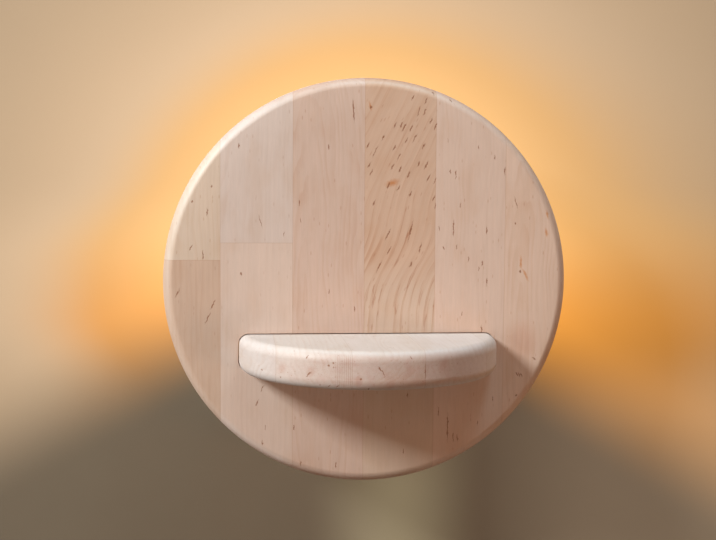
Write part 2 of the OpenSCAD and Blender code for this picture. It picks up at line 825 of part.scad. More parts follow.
module led_board() {
    board_h = cover_len - spigot_h - lamp_d / 2;
    color("Ivory") translate([0, -lamp_out, cover_z + spigot_h + board_h / 2])
        cube([board_w, board_t, board_h], center = true);
}

module led_chips() {
    board_h = cover_len - spigot_h - lamp_d / 2;
    row_pitch = board_h / chip_rows;
    color("Khaki") for (face = [-1, 1], column = chip_columns, row = [0 : chip_rows - 1])
        translate([column * chip_column_x, -lamp_out + face * (board_t + chip_t) / 2,
            cover_z + spigot_h + (row + 0.5) * row_pitch])
            cube([chip_w, chip_t, chip_h], center = true);
}

round_disc();
shelf_board();
left_corner_bracket();
right_corner_bracket();
bracket_wood_screws();
threaded_inserts();
locking_screws();
wall_pads();
wall_plate();
left_support_rod();
right_support_rod();
cable_grommet();
cable_clamp();
clamp_screws();
terminal_block();
terminal_sleeves();
terminal_screws();
block_screws();
earth_lug();
earth_screw();
live_lead();
neutral_lead();
earth_lead();
holder_bracket();
holder_bracket_screws();
lampholder();
holder_contacts();
holder_screws();
bulb_base();
bulb_pins();
bulb_cover();
led_board();
led_chips();
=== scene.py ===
"""Wall lamp: a round wooden disc with a half-round shelf, lit from behind.

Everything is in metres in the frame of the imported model: the wall is y = 0, the lamp stands out
from it towards -y, +z is up, and the origin is on the axis of the disc. Names that end in _mm
or _MM hold millimetres, and so do the tables of marks and of routes. The disc and the three
leads are made here from formulas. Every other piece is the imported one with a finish.
"""

import math

import bpy
import numpy as np
from bpy.props import FloatProperty, FloatVectorProperty, IntProperty, PointerProperty
from mathutils import Matrix, Vector


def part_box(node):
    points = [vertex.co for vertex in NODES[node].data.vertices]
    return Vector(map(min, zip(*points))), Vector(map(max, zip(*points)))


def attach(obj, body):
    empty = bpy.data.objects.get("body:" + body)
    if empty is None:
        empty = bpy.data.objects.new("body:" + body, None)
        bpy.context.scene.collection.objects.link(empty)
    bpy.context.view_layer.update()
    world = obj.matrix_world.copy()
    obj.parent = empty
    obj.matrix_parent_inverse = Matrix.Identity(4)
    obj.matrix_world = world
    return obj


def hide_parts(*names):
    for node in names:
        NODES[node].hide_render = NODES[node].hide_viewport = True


bl_info = {
    "name": "Wall lamp with shelf",
    "version": (1, 0, 0),
    "blender": (4, 5, 0),
    "location": "3D View > Sidebar > Wall lamp",
    "description": "Dresses the packed wall lamp with its wood, metal and lamp finishes",
    "category": "Add Mesh",
}

MM = 0.001
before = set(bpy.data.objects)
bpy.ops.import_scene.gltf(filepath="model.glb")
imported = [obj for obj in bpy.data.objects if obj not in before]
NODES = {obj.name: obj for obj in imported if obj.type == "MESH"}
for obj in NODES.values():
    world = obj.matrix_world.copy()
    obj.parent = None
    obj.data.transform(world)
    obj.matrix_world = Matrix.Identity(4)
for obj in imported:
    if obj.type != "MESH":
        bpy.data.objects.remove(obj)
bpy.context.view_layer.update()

DISC_LOW, DISC_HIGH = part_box("round_disc")
SHELF_LOW, SHELF_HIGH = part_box("shelf_board")
DISC_RADIUS = (DISC_HIGH.x - DISC_LOW.x) / 2
SHELF_HALF_WIDTH = (SHELF_HIGH.x - SHELF_LOW.x) / 2
SHELF_THICK = SHELF_HIGH.z - SHELF_LOW.z
SHELF_MID_Z = (SHELF_HIGH.z + SHELF_LOW.z) / 2
SHELF_CORNER = 6 * MM


# ---- Shader maths ----


class Field:
    """A number, vector or colour that a shader works out at each point of a surface."""

    def __init__(self, finish, socket):
        self.finish, self.socket = finish, socket

    def maths(self, operation, *others):
        return self.finish.maths(operation, self, *others)

    def __add__(self, other):
        return self.maths("ADD", other)

    __radd__ = __add__

    def __sub__(self, other):
        return self.maths("SUBTRACT", other)

    def __rsub__(self, other):
        return self.finish.maths("SUBTRACT", other, self)

    def __mul__(self, other):
        return self.maths("MULTIPLY", other)

    __rmul__ = __mul__

    def __truediv__(self, other):
        return self.maths("DIVIDE", other)

    def __rtruediv__(self, other):
        return self.finish.maths("DIVIDE", other, self)

    def __gt__(self, other):
        return self.maths("GREATER_THAN", other)

    def __lt__(self, other):
        return self.maths("LESS_THAN", other)

    def __pow__(self, other):
        return self.maths("POWER", other)

    def most(self, other):
        return self.maths("MAXIMUM", other)

    def least(self, other):
        return self.maths("MINIMUM", other)

    def floor(self):
        return self.maths("FLOOR")

    def fraction(self):
        return self.maths("FRACT")

    def size(self):
        return self.maths("ABSOLUTE")

    def root(self):
        return self.maths("SQRT")

    def sine(self):
        return self.maths("SINE")

    def tanh(self):
        return self.maths("TANH")

    def step(self, low, high):
        """0 below low, 1 above high and a smooth S between them; low may be above high."""
        sockets = {"Value": self, "From Min": low, "From Max": high}
        return self.finish.node(
            "ShaderNodeMapRange", {"interpolation_type": "SMOOTHSTEP"}, sockets, "Result"
        )


class Nodes:
    """A node tree while it is laid out."""

    def __init__(self, tree):
        self.tree = tree

    def node(self, kind, settings=None, sockets=None, output=0):
        """Adds one node: first its settings, then the values or links of its sockets.

        The setting stops holds the places and colours of a ramp without blends.
        """
        node = self.tree.nodes.new(kind)
        for key, value in (settings or {}).items():
            if key == "stops":
                self.fill_ramp(node.color_ramp, value)
            else:
                setattr(node, key, value)
        for key, value in (sockets or {}).items():
            self.feed(node.inputs[key], value)
        return Field(self, node.outputs[output])

    @staticmethod
    def fill_ramp(ramp, stops):
        ramp.interpolation = "CONSTANT"
        while len(ramp.elements) < len(stops):
            ramp.elements.new(1.0)
        for element, (place, colour) in zip(ramp.elements, stops):
            element.position, element.color = place, (*colour, 1.0)

    def feed(self, socket, value):
        """Links a field to a socket, or sets a plain value on it."""
        if isinstance(value, Field):
            self.tree.links.new(value.socket, socket)
        elif socket.type == "RGBA":
            socket.default_value = (*value, 1.0)
        else:
            socket.default_value = value


class Finish(Nodes):
    """A procedural material while its nodes are laid out."""

    def __init__(self, name, **constants):
        self.material = bpy.data.materials.new(name)
        self.material.use_nodes = True
        super().__init__(self.material.node_tree)
        self.shader = self.tree.nodes["Principled BSDF"]
        for key, value in constants.items():
            self.feed(self.shader.inputs[key.replace("_", " ")], value)

    def place_mm(self):
        """The point of the piece, in millimetres."""
        place = self.node("ShaderNodeTexCoord", output="Object")
        return self.vector("SCALE", place, Scale=1000.0)

    def maths(self, operation, *values):
        return self.node("ShaderNodeMath", {"operation": operation}, dict(enumerate(values)))

    def vector(self, operation, *vectors, output=0, **sockets):
        given = {**dict(enumerate(vectors)), **sockets}
        return self.node("ShaderNodeVectorMath", {"operation": operation}, given, output)

    def split(self, vector):
        """The three numbers of a vector, in a list."""
        first = self.node("ShaderNodeSeparateXYZ", None, {0: vector})
        return [Field(self, out) for out in first.socket.node.outputs]

    def join(self, x, y, z):
        return self.node("ShaderNodeCombineXYZ", None, {0: x, 1: y, 2: z})

    def noise(self, vector, scale=(1, 1, 1), detail=2.0, rough=0.5, output=0):
        """Soft noise from 0 to 1 on stretched coordinates."""
        stretched = self.vector("MULTIPLY", vector, scale)
        sockets = {"Vector": stretched, "Scale": 1.0, "Detail": detail, "Roughness": rough}
        return self.node("ShaderNodeTexNoise", None, sockets, output)

    def cells(self, vector, scale, output="Distance"):
        """Cells on stretched coordinates: the distance to the nearest seed, or its colour."""
        stretched = self.vector("MULTIPLY", vector, scale)
        sockets = {"Vector": stretched, "Scale": 1.0}
        return self.node("ShaderNodeTexVoronoi", None, sockets, output)

    def mix(self, share, low, high):
        """The colour low where share is 0 and high where it is 1."""
        sockets = {0: share, 6: low, 7: high}
        return self.node("ShaderNodeMix", {"data_type": "RGBA"}, sockets, 2)

    def tint(self, colour, share):
        """A colour times a number."""
        return self.vector("SCALE", colour, Scale=share)

    def lookup(self, index, rows):
        """The row of a short table that a whole number names, as a colour."""
        count = len(rows)
        stops = [(k / count, row) for k, row in enumerate(rows)]
        return self.node("ShaderNodeValToRGB", {"stops": stops}, {0: (index + 0.5) / count})

    def bump(self, height, depth_mm):
        """Turns a height from 0 to 1 into the shader's normal, depth_mm deep."""
        sockets = {"Strength": 1.0, "Distance": depth_mm * MM, "Height": height}
        return self.node("ShaderNodeBump", None, sockets)

    def done(self, **fields):
        """Feeds the shader's sockets, and returns the finished material."""
        for key, value in fields.items():
            self.feed(self.shader.inputs[key.replace("_", " ")], value)
        return self.material


# ---- Meshes ----


def grid_piece(name, points, close_rows=False, close_columns=False, caps=False, sharp=40.0):
    """Makes a piece from a grid of points.

    points is an array of rows by columns by 3. Each face joins a point to the next one in its
    row and in its column; a closed direction also joins its last points to its first ones. Caps
    are one flat face across the first row and one across the last. The map of the piece counts
    from 0 to 1 along the columns and along the rows.
    """
    rows, columns = points.shape[:2]
    row_count = rows if close_rows else rows - 1
    column_count = columns if close_columns else columns - 1
    row, column = np.meshgrid(np.arange(row_count), np.arange(column_count), indexing="ij")
    next_row, next_column = (row + 1) % rows, (column + 1) % columns
    corners = [(row, column), (row, next_column), (next_row, next_column), (next_row, column)]
    faces = np.stack([r * columns + c for r, c in corners], -1).reshape(-1, 4).tolist()
    u = np.stack([column, column + 1, column + 1, column], -1) / column_count
    v = np.stack([row, row, row + 1, row + 1], -1) / row_count
    places = np.stack([u, v], -1).reshape(-1, 2)
    if caps:
        last = (rows - 1) * columns
        faces += [list(range(columns))[::-1], list(range(last, last + columns))]
        places = np.concatenate([places, np.zeros((2 * columns, 2))])
    mesh = bpy.data.meshes.new(name)
    mesh.from_pydata(points.reshape(-1, 3).tolist(), [], faces)
    mesh.uv_layers.new(name="UVMap").uv.foreach_set("vector", places.astype(np.float32).ravel())
    mesh.shade_smooth()
    mesh.set_sharp_from_angle(angle=math.radians(sharp))
    piece = bpy.data.objects.new(name, mesh)
    bpy.context.scene.collection.objects.link(piece)
    return piece


def dress(piece, material):
    """Gives the whole piece one material."""
    if not piece.material_slots:
        piece.data.materials.append(material)
    for slot in piece.material_slots:
        slot.link, slot.material = "OBJECT", material


def dress_nodes(material, *names):
    """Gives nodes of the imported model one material."""
    for name in names:
        dress(NODES[name], material)


def ease_edges(width_mm, *names):
    """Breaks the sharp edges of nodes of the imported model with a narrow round.

    Points within 0.002 mm are joined first, because the faces of these nodes come apart.
    """
    for name in names:
        node = NODES[name]
        weld = node.modifiers.new("joined", "WELD")
        weld.merge_threshold = 0.002 * MM
        round_edge = node.modifiers.new("eased edges", "BEVEL")
        round_edge.width, round_edge.segments = width_mm * MM, 2
        round_edge.limit_method, round_edge.angle_limit = "ANGLE", math.radians(50)
        round_edge.use_clamp_overlap, round_edge.harden_normals = True, True


def smoothed(route, steps):
    """A smooth curve through the points of a route, steps points to a span.

    Between two points it is the cubic whose slope at each of them is half the way from the point
    before to the point after.
    """
    route = np.array(route, float)
    padded = np.concatenate([route[:1], route, route[-1:]])
    a, b, c, d = (padded[k : len(route) - 1 + k, None, :] for k in range(4))
    t = np.linspace(0, 1, steps, endpoint=False)[None, :, None]
    spans = 0.5 * (
        2 * b + (c - a) * t + (2 * a - 5 * b + 4 * c - d) * t**2 + (3 * b - a - 3 * c + d) * t**3
    )
    return np.concatenate([spans.reshape(-1, 3), route[-1:]])


def tube(name, path, radius, aside, around=24, ease=0.2):
    """A round tube along a path, with flat ends.

    Each ring stands square to the path: its first direction is the path's heading crossed with
    the fixed vector aside, and its second is the heading crossed with the first. The end rings
    are drawn in by ease radii, and the rings beside them stand that far from the ends.
    """
    heading = np.gradient(path, axis=0)
    heading /= np.linalg.norm(heading, axis=1, keepdims=True)
    first = np.cross(heading, np.array(aside, float))
    first /= np.linalg.norm(first, axis=1, keepdims=True)
    second = np.cross(heading, first)
    rows = np.r_[0, np.arange(len(path)), len(path) - 1]
    centre, reach = path[rows], np.full(len(rows), radius)
    reach[[0, -1]] = radius * (1 - ease)
    centre[1] += heading[0] * radius * ease
    centre[-2] -= heading[-1] * radius * ease
    angle = np.linspace(0, 2 * np.pi, around, endpoint=False)[None, :, None]
    spokes = np.cos(angle) * first[rows][:, None] + np.sin(angle) * second[rows][:, None]
    points = centre[:, None] + spokes * reach[:, None, None]
    return grid_piece(name, points, close_columns=True, caps=True, sharp=50.0)


# ---- Wood ----

# Each board: its colour, then where its pith lies (aside of the board's middle, behind its face
# and how it leans), then how strong its rings, its flowing figure and its flecks are. All of them
# run from 0 to 1.
DISC_BOARDS = (
    ((0.572, 0.424, 0.332), (0.15, 0.50, 0.55), (0.20, 0.00, 0.45)),
    ((0.516, 0.348, 0.262), (0.80, 0.30, 0.50), (0.22, 0.00, 0.35)),
    ((0.576, 0.442, 0.384), (0.30, 0.60, 0.45), (0.15, 0.00, 0.40)),
    ((0.588, 0.433, 0.360), (0.75, 0.40, 0.55), (0.15, 0.00, 0.30)),
    ((0.552, 0.385, 0.312), (0.42, 0.20, 0.60), (0.28, 0.00, 0.50)),
    ((0.542, 0.353, 0.258), (0.98, 0.25, 0.50), (0.66, 1.00, 0.50)),
    ((0.590, 0.420, 0.342), (0.22, 0.45, 0.50), (0.15, 0.00, 0.50)),
    ((0.606, 0.425, 0.338), (0.43, 0.22, 0.60), (0.30, 0.00, 0.60)),
)
DISC_STAVE_MM = 43.9
DISC_FIRST_JOINT_MM = -90.3
DISC_BUTTS_MM = (13.5, 24.0)

SHELF_BOARDS = (
    ((0.551, 0.447, 0.406), (0.20, 0.40, 0.52), (0.25, 0.00, 0.45)),
    ((0.567, 0.455, 0.406), (0.75, 0.25, 0.50), (0.25, 0.00, 0.60)),
    ((0.567, 0.453, 0.408), (0.40, 0.25, 0.47), (0.25, 0.00, 0.60)),
    ((0.560, 0.455, 0.420), (0.85, 0.35, 0.50), (0.25, 0.00, 0.50)),
    ((0.560, 0.455, 0.415), (0.30, 0.30, 0.54), (0.25, 0.00, 0.45)),
)
SHELF_STAVE_MM = 41.1
SHELF_FIRST_JOINT_MM = -58.3

# Small marks on the wood, in families of one lean (degrees to the right of upright), half width
# and half length (millimetres). Each family lists its marks' places across and up.
DISC_MARKS = {
    "upright dashes": (0, 0.39, 2.2, (
        (-51.7, 29.6), (-41.2, -112.5), (-63, -89.5), (-24.8, 82.6), (-42.4, 48.4), (-41.8, 37.8),
        (-24.1, -5.6), (-8.3, -16.5), (62.5, 14.2), (69.3, 8.1), (67.9, 83.2), (78, 77.1),
        (48.8, 87.3), (50.4, 68.2), (54.9, 21.8), (44, 33.4), (71.3, 11.5), (58.8, -19.6),
        (25.1, -70.2), (-45.3, -89.8), (69.7, -88.6), (41.3, 47), (56.9, 47.7), (79.2, -73.5),
        (23.1, -105.7), (-79, 82.4), (-64.8, -98.9), (-19.2, -114),
    )),
    "upright streaks": (0, 0.42, 3.6, (
        (73.7, 32), (74.3, 0), (71.3, -29.5), (-100.7, 16.7), (53.9, 66.2), (44.7, -81.2),
        (54.4, -97.5), (57.0, -98), (84.6, 68.9), (-98, 42.3),
    )),
    "long streak": (0, 0.42, 7.1, ((52.8, 33.4),)),
    "crack": (0, 0.55, 11.0, ((50.7, -91.0),)),
    "top streak": (-4, 0.50, 9.0, ((-9.7, 104.4),)),
    "leaning dashes": (26, 0.50, 2.7, (
        (26.6, 112.9), (34.1, 104.3), (15.9, 96.2), (19.7, 96.5), (18.4, 77.1), (15.6, 82.6),
        (14.4, 70.7), (19.2, 69.3), (0.2, 71.9), (1.3, 67.3), (30.6, 72.5), (18.4, 58),
        (25.8, 54.6), (40.2, 51.8), (26.5, 11), (40.9, 95.5), (25.7, 94.2), (40.9, 62.7),
        (38.1, 99), (12.1, 59.3), (3.2, 48.7), (-107.9, 21.3), (-64.8, -65.3), (-68, -74.1),
        (8.5, 88.5), (33.5, 83.5), (23, 87), (24.5, 66), (-0.5, 84), (34.6, 111),
    )),
    "leaning streaks": (28, 0.52, 3.8, (
        (21.4, 94.8), (28.1, 88.5), (35.4, 71.8), (36.8, 64.1), (12.9, 19.7), (-94.6, -13.4),
        (-116, -6.3),
    )),
    "long leaning streaks": (26, 0.45, 5.2, ((11.9, 29.3), (3.7, 79.9), (6.6, 9.4), (-98, -22))),
    "steep leaning streaks": (15, 0.48, 4.2, ((30.4, 104.5), (32.3, 21.4))),
    "steep line": (14, 0.42, 9.2, ((26, 31.2),)),
    "left-leaning dashes": (-28, 0.50, 1.7, (
        (39.5, 115.6), (46.7, 21.1), (50.4, 111.5), (94.3, -58), (95.8, -58.4), (97.3, -58.7),
    )),
    "left-leaning streaks": (-17, 0.30, 5.5, ((91.8, 49.8), (-66, 37))),
    "flat dashes": (-62, 0.55, 1.8, ((105.2, -48.5),)),
    "specks": (0, 0.80, 1.1, (
        (0.9, 106.9), (91.8, 36.4), (-95.4, 58.1), (95.3, 6.7), (-107, 49), (-77.5, 5.3),
        (94.3, -71.2),
    )),
}
DISC_STAINS = {
    "orange streaks": (-2, 1.1, 6.0, ((95.7, 12),)),
    "leaning orange streaks": (-26, 1.1, 6.0, ((98.7, 4.6),)),
    "warm cloud": (70, 2.9, 6.2, ((14.5, 61),)),
    "rim stains": (-12, 1.2, 4.0, ((112, 42), (111.6, 31), (0.6, 107.5))),
}
# Painted shadow: the shade that the shelf casts on the disc to its right, as a darker patch in
# the wood's colour.
DISC_PAINTED_SHADOW = {"painted shelf shadow": (0, 14.0, 18.0, ((97, -37),))}
SHELF_MARKS = {
    "specks": (0, 0.50, 0.7, (
        (-30, -40), (-27.3, -38.5), (-27.3, -41), (-55.8, -49), (-34.4, -51.5), (-8, -52.5),
        (-66, -47), (-12.5, -47),
    )),
    "right-leaning dashes": (40, 0.40, 1.6, ((-29.5, -51.5), (-25, -51.5), (-41.5, -36))),
    "right-leaning streak": (40, 0.48, 2.9, ((-40.5, -45.5),)),
    "left-leaning dashes": (-35, 0.45, 1.6, ((-2, -41.3), (15.6, -35.5))),
    "left-leaning streak": (-35, 0.35, 4.6, ((-1, -42.5),)),
    "crack": (0, 0.32, 5.5, ((23.8, -44),)),
}
SHELF_CLOUDS = {"pink clouds": (20, 3.4, 5.0, (
    (14.9, -43), (-13.7, -48), (-39.5, -44), (-55, -44), (4, -50), (35, -40),
))}
SHELF_RAYS_MM = (-27.0, -16.5)
RAY_SPACING_MM = 1.15

# How far out from the wall the marks begin and are whole, and where the shelf's tongue ends.
DISC_SKIN_MM = (-74.0, -79.0)
SHELF_SKIN_MM = (-95.0, -120.0)
TONGUE_END_MM = (-90.0, -74.0)

# The grain's layout: the flowing figure's S and its lean, the reach of the pith and the rings.
S_AT_MM, S_LENGTH_MM, S_SHIFT_MM = 11.0, 20.0, 10.5
LEAN_AT_MM, LEAN_BEND_MM = 52.0, 12.0
PITH_ASIDE_MM, PITH_BEHIND_MM = 160.0, 70.0
RING_MM, FLOWING_RING_MM = 3.2, 1.6

# The grain's layers of noise: how each is stretched aside, behind and along the grain, then its
# detail and its roughness.
LAYERS = {
    "slow": ((0.04, 0.04, 0.010), 2.0, 0.5),
    "wobble": ((0.17, 0.17, 0.022), 3.0, 0.5),
    "patchy": ((0.11, 0.11, 0.016), 2.0, 0.5),
    "fibre": ((2.4, 2.4, 0.11), 3.0, 0.65),
    "streak": ((0.55, 0.55, 0.022), 3.0, 0.6),
    "cloud": ((0.055, 0.055, 0.030), 3.0, 0.55),
    "vein": ((0.30, 0.30, 0.018), 2.0, 0.5),
    "blush": ((0.22, 0.22, 0.22), 3.0, 0.6),
}
FLECK_CELLS, PORE_CELLS = (0.55, 0.55, 0.15), (1.7, 1.7, 0.25)

# How far on each board takes its grain, aside and along. How far from a glued joint and from a
# butt joint the wood begins to darken and is dark. How deep the relief is.
NEXT_ASIDE_MM, NEXT_ALONG_MM = 37.0, 91.0
GLUE_LINE_MM, BUTT_LINE_MM = (0.30, 0.06), (0.30, 0.08)
RELIEF_MM = 0.045

# What each trait of the wood multiplies its colour by, and the colour of its small marks.
TRAITS = {
    "warm patch": (1.0, 0.93, 0.86),
    "pale lower figure": (1.00, 1.10, 1.17),
    "late wood": (0.80, 0.62, 0.49),
    "vein": (0.62, 0.36, 0.24),
    "fleck": (0.66, 0.43, 0.31),
    "rounded edge": (1.04, 1.10, 1.15),
    "end grain": (0.86, 0.76, 0.71),
    "blush": (0.95, 0.85, 0.83),
    "pore": (0.70, 0.52, 0.42),
    "glue line": (0.80, 0.68, 0.60),
    "tongue": (1.08, 0.96, 0.86),
    # cloud darkens the shelf's own pink clouds, and on the disc it is the painted shadow of the
    # shelf.
    "cloud": (0.93, 0.83, 0.79),
    "orange stain": (0.86, 0.54, 0.30),
    "ray": (0.86, 0.77, 0.73),
}
MARK_COLOUR = (0.230, 0.090, 0.043)


class Wood(Finish):
    """Edge-glued staves of pale hardwood, as a solid block that the piece is cut from.

    along is the axis of the grain, depth is the axis through the board, and front_mm is where
    the board's face lies on it.
    """

    def __init__(self, name, along, depth, front_mm):
        super().__init__(name, IOR=1.5, Specular_IOR_Level=0.4)
        axes = dict(zip("xyz", self.split(self.place_mm())))
        self.across, self.up, self.out = axes["x"], axes[along], axes["y"]
        self.behind = (axes[depth] - front_mm).size()
        self.face = self.join(axes["x"], axes["z"], 0.0)
        normal = self.split(self.node("ShaderNodeTexCoord", output="Normal"))
        self.end = normal["xyz".index(along)].size().step(0.45, 0.97)
        self.edge = normal["xyz".index(depth)].size().step(0.99, 0.80)

    def cut_boards(self, boards, stave_mm, first_joint_mm, butts=()):
        """Splits the block into staves, and each stave with a butt joint into two boards.

        butts holds the heights of the butt joints in the first staves.
        """
        staves = (self.across - first_joint_mm) / stave_mm + 1.0
        stave = staves.floor()
        self.aside = (staves - stave - 0.5) * stave_mm
        board, joint = stave, (stave_mm / 2 - self.aside.size()).step(*GLUE_LINE_MM)
        for row, height in enumerate(butts):
            here = (stave > row - 0.5) * (stave < row + 0.5)
            board = board + (stave > row + 0.5) + here * (self.up < height)
            joint = joint.most((self.up - height).size().step(*BUTT_LINE_MM) * here)
        board = board.most(0.0).least(len(boards) - 1.0)
        self.joint = joint
        self.colours, piths, strengths = (
            self.lookup(board, [row[k] for row in boards]) for k in range(3)
        )
        self.pith = self.split(piths)
        self.rings, self.flow, self.flecks = self.split(strengths)
        self.board = board

    def grow(self):
        """Lays out the grain: its coordinates and its growth rings.

        The flowing figure shifts the grain aside by an S, a hyperbolic tangent, with a lean of
        one half further up, half of x + sqrt(x^2 + bend^2). Rings are the distance from the
        pith, which leans, divided by the ring width; within one the wood darkens slowly and
        ends in a sharp line.
        """
        lean = self.up - LEAN_AT_MM
        lean = (lean + (lean * lean + LEAN_BEND_MM**2).root()) * 0.25
        shift = ((self.up - S_AT_MM) / S_LENGTH_MM).tanh() * S_SHIFT_MM
        shift = (shift + lean) * self.flow
        self.grain = self.join(
            self.across - shift + self.board * NEXT_ASIDE_MM,
            self.behind,
            self.up + self.board * NEXT_ALONG_MM,
        )
        slow, wobble = self.layer("slow"), self.layer("wobble")
        aside, behind, tilt = self.pith
        aside = self.aside - shift - (aside - 0.5) * PITH_ASIDE_MM + (slow - 0.5) * 12.0
        behind = self.behind + behind * PITH_BEHIND_MM - 12.0 + (tilt - 0.5) * self.up * 1.2
        radius = (aside * aside + behind * behind).root()
        width = self.flow * FLOWING_RING_MM + RING_MM
        turn = (radius / width + (slow - 0.5) * 3.0 + (wobble - 0.5) * 1.6).fraction()
        patchy = self.layer("patchy").step(0.36, 0.70)
        self.late = turn.step(0.30, 0.88) * turn.step(1.0, 0.90) * (patchy * 0.8 + 0.2)
        clear = self.up.step(-46.0, -26.0) * (1.0 - self.up.step(18.0, 52.0) * 0.62)
        self.late = self.late * (1.0 + self.flow * (clear - 1.0))

    def paint(self, marks, stains, clouds, skin, rays_mm=None):
        """Puts the wood's colour together, from its boards to its marks, and finishes it.

        skin is how far out the marks begin and are whole. Between the two places of rays_mm,
        fine upright lines show on the end grain, and the wood further in is a tongue. clouds
        darken
        the colour in patches: on the shelf they are the wood's own pink clouds, on the disc a
        painted shadow that the shelf casts to its right.
        """
        fibre, streak, cloud = self.layer("fibre"), self.layer("streak"), self.layer("cloud")
        tone = 1.0 + (fibre - 0.5) * 0.16 + (streak - 0.5) * 0.15 + (cloud - 0.5) * 0.20
        colour = self.tint(self.colours, tone)
        colour = self.stain(colour, cloud.step(0.52, 0.35) * 0.45, "warm patch")
        low = self.up.step(20.0, -14.0)
        colour = self.stain(colour, self.flow * low, "pale lower figure")
        colour = self.stain(colour, self.late * self.rings, "late wood")

        vein = (self.layer("vein") - 0.5).size().step(0.018, 0.004)
        vein = vein * self.late.step(0.05, 0.4) * self.flow
        colour = self.stain(colour, vein * 0.55, "vein")

        pick = self.split(self.cells(self.grain, FLECK_CELLS, "Color"))[0]
        fleck = self.cells(self.grain, FLECK_CELLS).step(0.26, 0.10)
        fleck = fleck * (pick > 0.80) * self.flecks
        colour = self.stain(colour, fleck * 0.75, "fleck")

        pores = self.cells(self.grain, PORE_CELLS).step(0.30, 0.08) * self.end
        blush = self.layer("blush")
        colour = self.stain(colour, self.edge * 0.6, "rounded edge")
        colour = self.stain(colour, self.end * 0.9, "end grain")
        colour = self.stain(colour, self.end * blush.step(0.40, 0.70) * 0.7, "blush")
        colour = self.stain(colour, pores * 0.5, "pore")
        colour = self.stain(colour, self.joint * 0.55, "glue line")
        if rays_mm:
            colour = self.stain(colour, self.out.step(*TONGUE_END_MM), "tongue")

        torn = self.noise(self.face, (0.8, 0.45, 1.0), 3.0, 0.6, "Color")
        torn = self.tint(self.vector("SUBTRACT", torn, (0.5, 0.5, 0.5)), 2.2)
        face = self.vector("ADD", self.face, torn)
        skin = self.out.step(*skin)
        # Darker patches: the shelf's own pink clouds, and on the disc a painted shadow of the
        # shelf.
        clouds_and_painted_shadow = mark_field(self, face, clouds, 0.2) * skin
        colour = self.stain(colour, clouds_and_painted_shadow, "cloud")
        if stains:
            stained = mark_field(self, face, stains, 0.0) * skin
            colour = self.stain(colour, stained, "orange stain")
        if rays_mm:
            low, high = rays_mm
            rays = (self.across * (2 * math.pi / RAY_SPACING_MM)).sine().step(-0.2, 0.9)
            rays = rays * self.across.step(low, low + 2.0) * self.across.step(high, high - 2.0)
            colour = self.stain(colour, rays * self.end * 0.8, "ray")
        uneven = self.noise(self.face, (0.45, 0.45, 1.0), 2.0).step(0.15, 0.50)
        mark = mark_field(self, face, marks) * skin * (0.55 + uneven * 0.45)
        colour = self.mix(mark * 0.92, colour, MARK_COLOUR)

        height = fibre * 0.55 + streak * 0.25 - self.joint * 0.2 - fleck * 0.3 - mark * 0.6
        return self.done(
            Base_Color=colour,
            Roughness=0.47 + (fibre - 0.5) * 0.14 + self.end * 0.08,
            Normal=self.bump(height, RELIEF_MM),
        )

    def layer(self, name):
        """One of the grain's layers of noise."""
        return self.noise(self.grain, *LAYERS[name])

    def stain(self, colour, share, trait):
        """Gives a colour one of the traits where share is 1."""
        return self.mix(share, colour, self.vector("MULTIPLY", colour, TRAITS[trait]))


def mark_field(finish, point, families, whole=0.40):
    """Where the marks of some families lie: 1 in a mark, 0 outside it.

    A family's plane is turned by its lean and divided by its half width and half length, so that
    each of its marks is a disc of radius 1 about its own place, 1 inside the radius whole. The
    third direction is divided by so much that it doesn't count.
    """
    reach = None
    for lean, half_width, half_length, places in families.values():
        turn = math.radians(lean)
        sockets = {
            "Vector": point, "Rotation": (0.0, 0.0, -turn),
            "Scale": (half_width, half_length, 1e4),
        }
        local = finish.node("ShaderNodeMapping", {"vector_type": "TEXTURE"}, sockets)
        for across, up in places:
            middle = (
                (across * math.cos(turn) - up * math.sin(turn)) / half_width,
                (across * math.sin(turn) + up * math.cos(turn)) / half_length,
                0.0,
            )
            away = finish.vector("DISTANCE", local, middle, output="Value")
            reach = away if reach is None else reach.least(away)
    return reach.step(1.0, whole)


# ---- Plainer finishes ----


def metal_finish(name, colour, rough, stretch=(1.0, 1.0, 1.0), spangle=0.10):
    """Zinc, brass or drawn steel: fine drawn scratches and cloudy patches in the gloss."""
    metal = Finish(name, Metallic=1.0)
    point = metal.place_mm()
    scratch = metal.noise(point, tuple(9.0 * s for s in stretch), 3.0, 0.65)
    cloud = metal.noise(point, (0.35, 0.35, 0.35), 3.0, 0.6)
    crystal = metal.split(metal.cells(point, (0.7, 0.7, 0.7), "Color"))[0]
    tone = 1.0 + (scratch - 0.5) * 0.18 + (crystal - 0.5) * spangle + (cloud - 0.5) * 0.16
    return metal.done(
        Base_Color=metal.tint(colour, tone),
        Roughness=rough + (scratch - 0.5) * 0.22 + (cloud - 0.5) * 0.18,
        Normal=metal.bump(scratch, 0.012),
    )


def coat_finish(name, colour, rough, grain_mm, depth_mm, dust):
    """Paint, plastic, rubber or ceramic: a fine pebbled skin with faint clouds of dust."""
    coat = Finish(name)
    point = coat.place_mm()
    pebble = coat.noise(point, (1 / grain_mm,) * 3, 2.0, 0.5)
    cloud = coat.noise(point, (0.12, 0.12, 0.12), 3.0, 0.6)
    tone = 1.0 + (cloud - 0.5) * dust + (pebble - 0.5) * dust * 0.6
    return coat.done(
        Base_Color=coat.tint(colour, tone),
        Roughness=rough + (cloud - 0.5) * 0.14 + (pebble - 0.5) * 0.08,
        Normal=coat.bump(pebble, depth_mm),
    )


